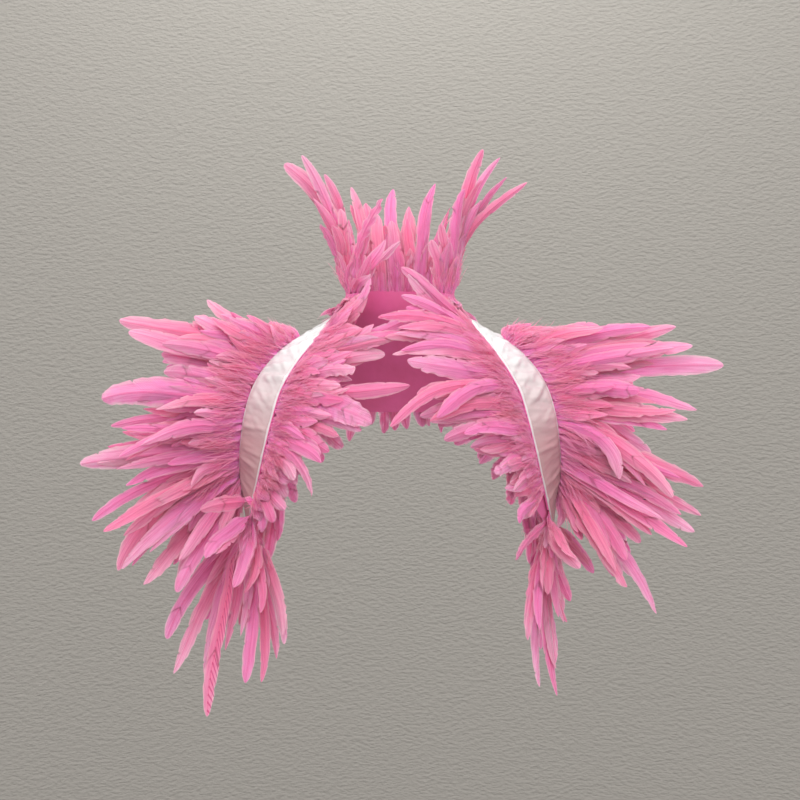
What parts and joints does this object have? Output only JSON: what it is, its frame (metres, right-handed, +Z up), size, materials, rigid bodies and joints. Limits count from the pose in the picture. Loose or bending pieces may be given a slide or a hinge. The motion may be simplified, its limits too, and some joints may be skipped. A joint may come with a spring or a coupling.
{
  "type": "feather cape",
  "caption": "Worn feather shoulder cape, open in front, with satin bands round the armholes, a stand-up feather collar and long feather fringes over shoulders, chest and underarms.",
  "frame": {"origin": "the middle of the neck at the height where it meets the shoulders, where the worn cape is held", "axes": "+Z up, the open front faces -Y, the wearer's left arm is at +X"},
  "size_m": [0.647, 0.2787, 0.5861],
  "materials": {
    "band_satin": "ivory satin ribbon with a soft sheen",
    "base_cloth": "plain pink satin base cloth",
    "feathers": "dyed pink cock feathers, matt with pale tips"
  },
  "bodies": {
    "root": {"collar": "base_cloth", "yoke_back": "base_cloth", "panel_front_left": "base_cloth", "panel_front_right": "base_cloth", "band_front_left": "band_satin", "band_front_right": "band_satin", "band_back_left": "band_satin", "band_back_right": "band_satin", "fringe_collar": "feathers", "fringe_nape": "feathers", "fringe_shoulder_front_left": "feathers", "fringe_shoulder_front_right": "feathers", "fringe_shoulder_back_left": "feathers", "fringe_shoulder_back_right": "feathers", "fringe_chest_left": "feathers", "fringe_chest_right": "feathers", "fringe_underarm_left": "feathers", "fringe_underarm_right": "feathers", "fringe_back_left": "feathers", "fringe_back_right": "feathers"}
  },
  "joints": []
}
